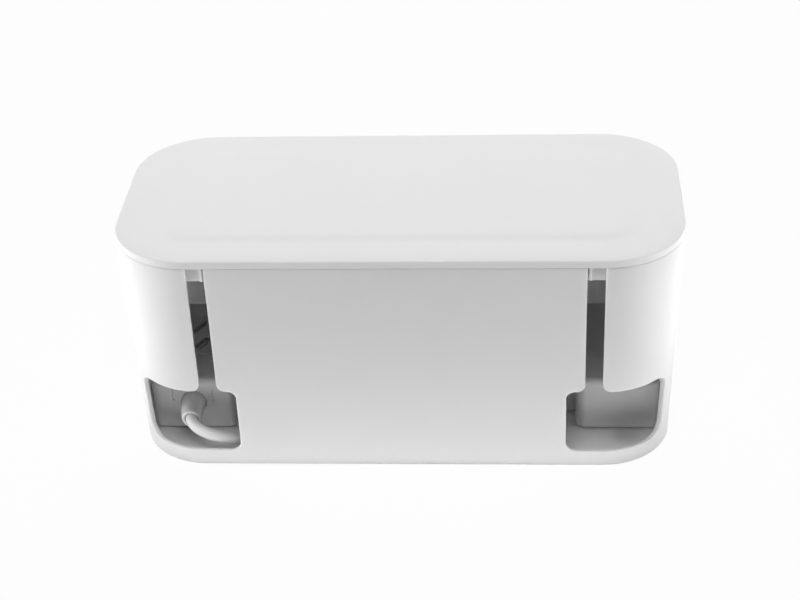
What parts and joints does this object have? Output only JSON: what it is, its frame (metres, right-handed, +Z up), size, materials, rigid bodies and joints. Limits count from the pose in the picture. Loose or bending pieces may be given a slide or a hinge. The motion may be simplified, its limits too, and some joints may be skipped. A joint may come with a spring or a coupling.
{
  "type": "cable management box",
  "caption": "Long white lidded box with rounded corners, cable slots and corner openings in front, holding a power strip with its coiled mains lead.",
  "frame": {"origin": "centre of the footprint, on the surface the box stands on", "axes": "+X along the length, to the right seen from the side with the cable openings; +Y towards the plain back; +Z up"},
  "size_m": [0.32, 0.15, 0.1424],
  "materials": {
    "box_white": "satin moulded plastic",
    "strip_white": "fine moulded texture",
    "outlet_white": "semi-gloss",
    "foot_rubber": "matt rubber",
    "rocker_grey": "semi-gloss",
    "cord_white": "smooth soft PVC",
    "tie_fabric": "hook and loop tape",
    "contact_brass": "bright stamped brass",
    "board_green": "solder mask",
    "screw_steel": "zinc plated",
    "pin_steel": "nickel plated"
  },
  "bodies": {
    "case": {"tub": "box_white", "foot_front_left": "foot_rubber", "foot_front_right": "foot_rubber", "foot_back_left": "foot_rubber", "foot_back_right": "foot_rubber", "strip_base": "strip_white", "strip_cover": "strip_white", "strip_screws": "screw_steel", "strip_pads": "foot_rubber", "outlet_insert_1": "outlet_white", "outlet_insert_2": "outlet_white", "outlet_insert_3": "outlet_white", "outlet_insert_4": "outlet_white", "port_insert": "outlet_white", "charging_board": "board_green", "live_bus": "contact_brass", "neutral_bus": "contact_brass", "earth_bus": "contact_brass", "switch_housing": "outlet_white", "cord_boot": "cord_white", "lead_tube": "cord_white", "tail_tube": "cord_white", "lead_coil": "cord_white", "coil_tie": "tie_fabric", "plug_body": "cord_white", "plug_pins": "pin_steel"},
    "lid": {"lid": "box_white"},
    "rocker": {"switch_rocker": "rocker_grey"}
  },
  "joints": [
    {"name": "lid_lift", "type": "slide", "parent": "case", "child": "lid", "axis": [0, 0, 1], "range_m": [0, 0.12]},
    {"name": "rocker_tilt", "type": "hinge", "parent": "case", "child": "rocker", "pos_m": [-0.1105, 0.015, 0.0353], "axis": [1, 0, 0], "range_deg": [0, 16]}
  ]
}
